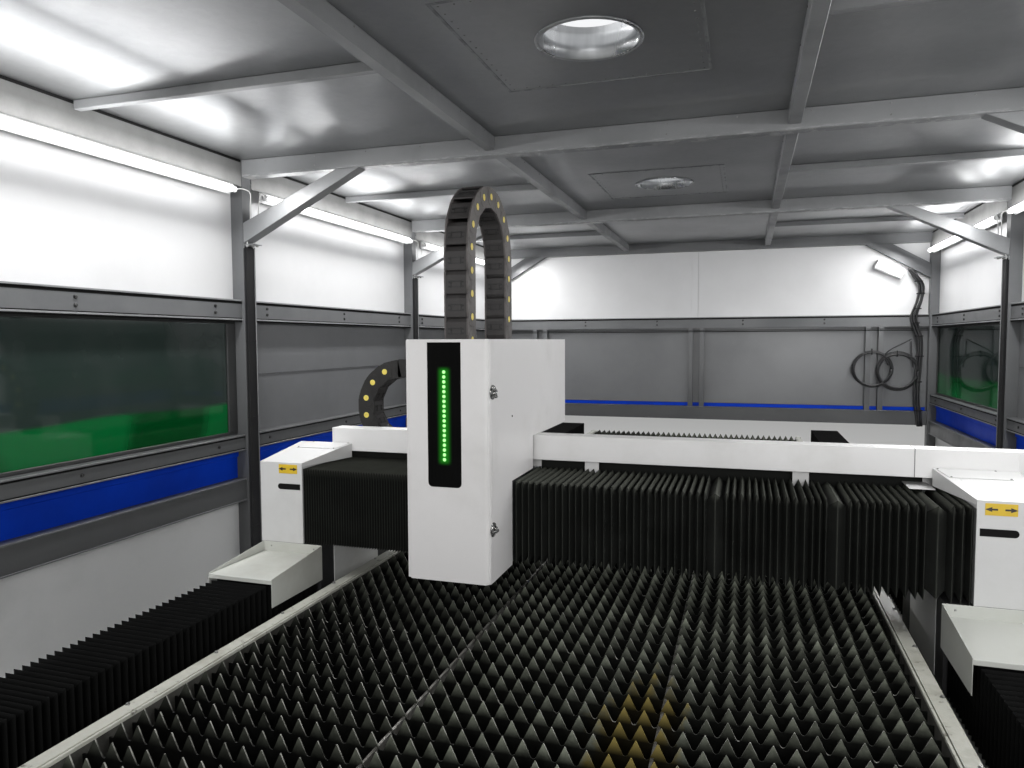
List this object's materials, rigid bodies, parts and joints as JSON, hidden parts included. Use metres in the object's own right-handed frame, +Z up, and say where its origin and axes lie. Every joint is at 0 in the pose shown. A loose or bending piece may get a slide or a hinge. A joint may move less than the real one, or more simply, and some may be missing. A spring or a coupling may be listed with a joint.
{
  "type": "enclosed fiber laser cutting machine",
  "caption": "Enclosed gantry laser cutting machine: open-front cabin, toothed slat bed on a pallet, travelling gantry with bellows, drag chains and a cutting head.",
  "frame": {"origin": "on the floor under the middle of the cabin and bed", "axes": "+Z up, +Y along the bed away from the open front end, +X to the right along the gantry for a person facing the open front"},
  "size_m": [4.74, 7.12, 2.965],
  "materials": {
    "white_enamel": "satin",
    "cream_enamel": "satin",
    "frame_grey": "satin",
    "dark_grey": "satin",
    "galvanised_sheet": "spangled, semi-gloss",
    "blue_enamel": "satin",
    "green_glass": "gloss",
    "bellows_cloth": "matte",
    "chain_plastic": "matte",
    "slat_steel": "scorched, matte",
    "machined_steel": "machined",
    "black_acrylic": "gloss",
    "black_cord": "matte"
  },
  "bodies": {
    "machine": {"portal_frame": "frame_grey", "rear_frame": "frame_grey", "roof_frame": "frame_grey", "roof_sheet": "galvanised_sheet", "rear_cable_loom": "black_cord", "bed_frame": "white_enamel", "scrap_tray": "dark_grey", "blue_band_rear": "blue_enamel", "grey_panel_rear": "frame_grey", "upper_panel_rear": "white_enamel", "wall_frame_left": "frame_grey", "lower_panel_left": "white_enamel", "blue_band_left": "blue_enamel", "upper_panel_left": "white_enamel", "window_left": "green_glass", "grey_panel_left": "frame_grey", "light_batten_left": "white_enamel", "knee_brace_near_left": "frame_grey", "knee_brace_far_left": "frame_grey", "y_bellows_front_left": "bellows_cloth", "y_bellows_rear_left": "bellows_cloth", "wall_frame_right": "frame_grey", "lower_panel_right": "white_enamel", "blue_band_right": "blue_enamel", "upper_panel_right": "white_enamel", "window_right": "green_glass", "grey_panel_right": "frame_grey", "light_batten_right": "white_enamel", "knee_brace_near_right": "frame_grey", "knee_brace_far_right": "frame_grey", "y_bellows_front_right": "bellows_cloth", "y_bellows_rear_right": "bellows_cloth"},
    "pallet": {"pallet_frame": "cream_enamel", "slat_rack_front": "slat_steel", "slat_rack_middle": "slat_steel", "slat_rack_rear": "slat_steel"},
    "gantry": {"gantry_beam": "machined_steel", "cable_tray": "white_enamel", "x_chain_lower": "chain_plastic", "gantry_foot_left": "dark_grey", "gantry_foot_right": "dark_grey", "gantry_end_left": "white_enamel", "gantry_end_right": "white_enamel", "gantry_hood_left": "white_enamel", "gantry_hood_right": "white_enamel", "x_bellows_left": "bellows_cloth", "x_bellows_right": "bellows_cloth"},
    "x_chain_loop": {"x_chain_bend": "chain_plastic"},
    "head": {"head_cover": "white_enamel", "x_carriage": "machined_steel", "z_slide": "machined_steel", "x_chain_upper": "chain_plastic", "z_chain_rear": "chain_plastic"},
    "z_chain_loop": {"z_chain_arch": "chain_plastic"},
    "laser_unit": {"laser_head": "dark_grey", "z_chain_front": "chain_plastic"},
    "door": {"head_door": "white_enamel", "led_window": "black_acrylic"},
    "upper_latch": {"latch_upper": "machined_steel"},
    "lower_latch": {"latch_lower": "machined_steel"}
  },
  "joints": [
    {"name": "gantry_y", "type": "slide", "parent": "machine", "child": "gantry", "axis": [0, 1, 0], "range_m": [-1.1, 4], "deforming": ["y_bellows_front_left", "y_bellows_front_right", "y_bellows_rear_left", "y_bellows_rear_right"]},
    {"name": "pallet_slide", "type": "slide", "parent": "machine", "child": "pallet", "axis": [0, 1, 0], "range_m": [0, 6.6]},
    {"name": "head_x", "type": "slide", "parent": "gantry", "child": "head", "axis": [1, 0, 0], "range_m": [-0.43, 1.35], "deforming": ["x_bellows_left", "x_bellows_right", "x_chain_lower", "x_chain_upper"]},
    {"name": "x_chain_roll", "type": "slide", "parent": "gantry", "child": "x_chain_loop", "axis": [1, 0, 0], "range_m": [-0.215, 0.675]},
    {"name": "head_z", "type": "slide", "parent": "head", "child": "laser_unit", "axis": [0, 0, 1], "range_m": [-0.06, 0.1], "deforming": ["z_chain_rear", "z_chain_front"]},
    {"name": "z_chain_roll", "type": "slide", "parent": "head", "child": "z_chain_loop", "axis": [0, 0, 1], "range_m": [-0.03, 0.05]},
    {"name": "head_door", "type": "hinge", "parent": "head", "child": "door", "pos_m": [-0.637, -2.285, 1.37], "axis": [0, 0, -1], "range_deg": [0, 110]},
    {"name": "upper_latch_turn", "type": "hinge", "parent": "door", "child": "upper_latch", "pos_m": [-0.3087, -2.285, 1.619], "axis": [1, 0, 0], "range_deg": [0, 90]},
    {"name": "lower_latch_turn", "type": "hinge", "parent": "door", "child": "lower_latch", "pos_m": [-0.3087, -2.285, 1.128], "axis": [1, 0, 0], "range_deg": [0, 90]}
  ],
  "couplings": [
    {"joint": "x_chain_roll", "follows": "head_x", "ratio": 0.5},
    {"joint": "z_chain_roll", "follows": "head_z", "ratio": 0.5}
  ]
}
